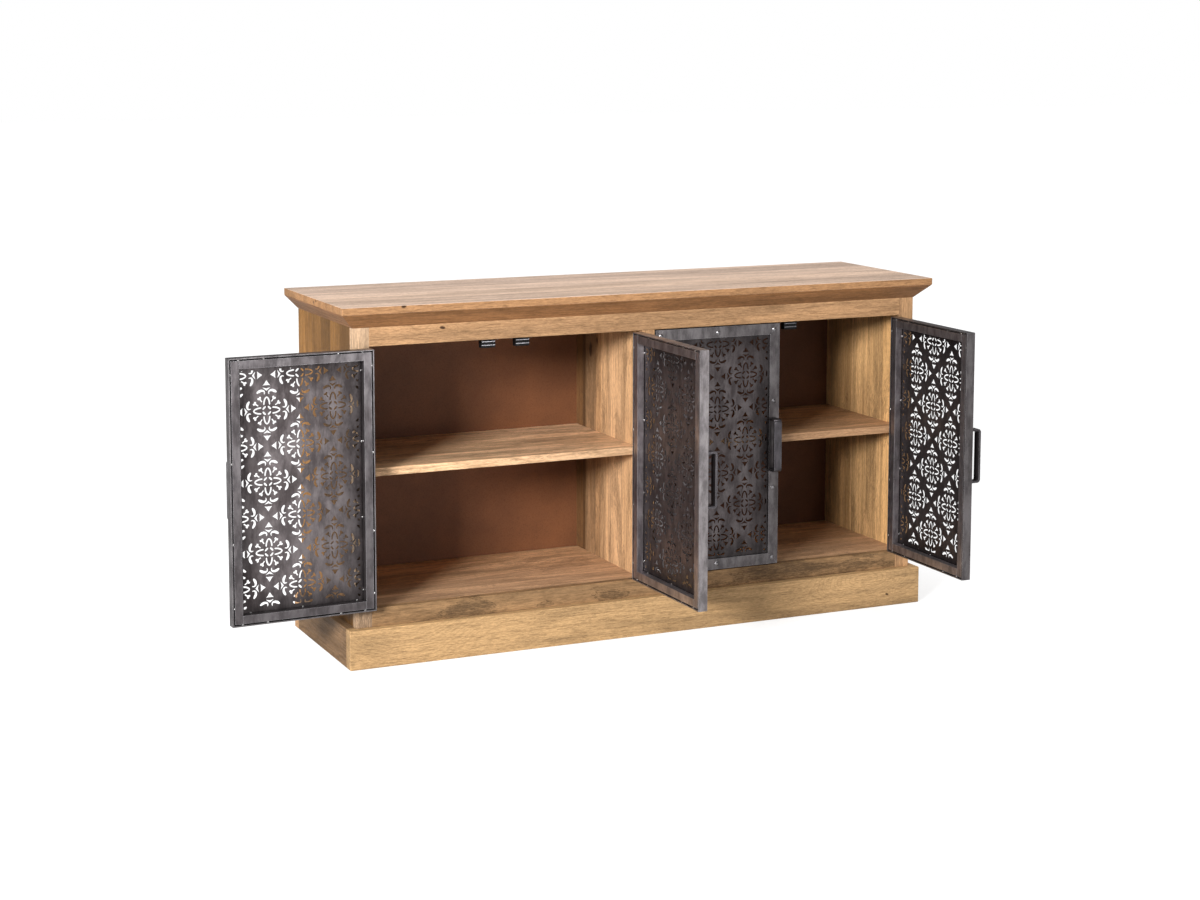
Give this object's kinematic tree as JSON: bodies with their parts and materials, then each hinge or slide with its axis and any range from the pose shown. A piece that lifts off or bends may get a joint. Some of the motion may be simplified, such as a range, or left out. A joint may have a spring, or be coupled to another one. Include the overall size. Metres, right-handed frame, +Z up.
{
  "type": "sideboard buffet",
  "caption": "Long wooden sideboard on a plinth with a sloped cornice, open shelves and hinged steel doors with pierced sheet panels and strap handles.",
  "frame": {"origin": "on the floor under the middle of the carcass, at the middle of the plinth's cross rail", "axes": "+X to the right as seen from the front, along the length; the doors face -Y; +Z up"},
  "size_m": [1.7397, 0.7254, 0.8],
  "materials": {
    "wood_top": "satin",
    "wood_front": "satin",
    "wood_side": "satin",
    "wood_dark": "satin",
    "wood_inside": "satin",
    "wood_shelf": "satin",
    "hardboard": "satin",
    "door_steel": "satin",
    "sheet_steel": "satin",
    "rivet_steel": "satin",
    "handle_steel": "satin",
    "hinge_steel": "satin",
    "catch_black": "matte",
    "bright_steel": "satin"
  },
  "bodies": {
    "cabinet": {"top_board": "wood_top", "cornice_front": "wood_front", "cornice_left": "wood_side", "cornice_right": "wood_side", "side_left": "wood_side", "side_right": "wood_side", "centre_divider": "wood_inside", "stile_left": "wood_front", "stile_right": "wood_front", "stile_centre": "wood_front", "top_rail": "wood_front", "bottom_rail": "wood_dark", "floor_board": "wood_inside", "back_panel": "hardboard", "shelf_left": "wood_shelf", "shelf_right": "wood_shelf", "plinth_front": "wood_front", "plinth_back": "wood_side", "plinth_left": "wood_side", "plinth_right": "wood_side", "plinth_cross_rail": "wood_inside", "catch_battens": "wood_inside", "catch_bodies": "catch_black", "catch_plates": "bright_steel", "catch_screws": "bright_steel", "hinge_stile_leaves": "hinge_steel", "hinge_pins": "hinge_steel", "hinge_screws": "hinge_steel"},
    "door_1": {"door_1_frame": "door_steel", "door_1_inner_frame": "door_steel", "door_1_panel": "sheet_steel", "door_1_rivets": "rivet_steel", "door_1_handle": "handle_steel", "door_1_hinge_leaves": "hinge_steel"},
    "door_2": {"door_2_frame": "door_steel", "door_2_inner_frame": "door_steel", "door_2_panel": "sheet_steel", "door_2_rivets": "rivet_steel", "door_2_handle": "handle_steel", "door_2_hinge_leaves": "hinge_steel"},
    "door_3": {"door_3_frame": "door_steel", "door_3_inner_frame": "door_steel", "door_3_panel": "sheet_steel", "door_3_rivets": "rivet_steel", "door_3_handle": "handle_steel", "door_3_hinge_leaves": "hinge_steel"},
    "door_4": {"door_4_frame": "door_steel", "door_4_inner_frame": "door_steel", "door_4_panel": "sheet_steel", "door_4_rivets": "rivet_steel", "door_4_handle": "handle_steel", "door_4_hinge_leaves": "hinge_steel"}
  },
  "joints": [
    {"name": "door_1_hinge", "type": "hinge", "parent": "cabinet", "child": "door_1", "pos_m": [-0.671, -0.2015, 0.42], "axis": [0, 0, -1], "range_deg": [-178, 2]},
    {"name": "door_2_hinge", "type": "hinge", "parent": "cabinet", "child": "door_2", "pos_m": [-0.017, -0.2015, 0.42], "axis": [0, 0, 1], "range_deg": [-91, 0]},
    {"name": "door_3_hinge", "type": "hinge", "parent": "cabinet", "child": "door_3", "pos_m": [0.017, -0.2015, 0.42], "axis": [0, 0, -1], "range_deg": [0, 85]},
    {"name": "door_4_hinge", "type": "hinge", "parent": "cabinet", "child": "door_4", "pos_m": [0.671, -0.2015, 0.42], "axis": [0, 0, 1], "range_deg": [-90, 90]}
  ]
}
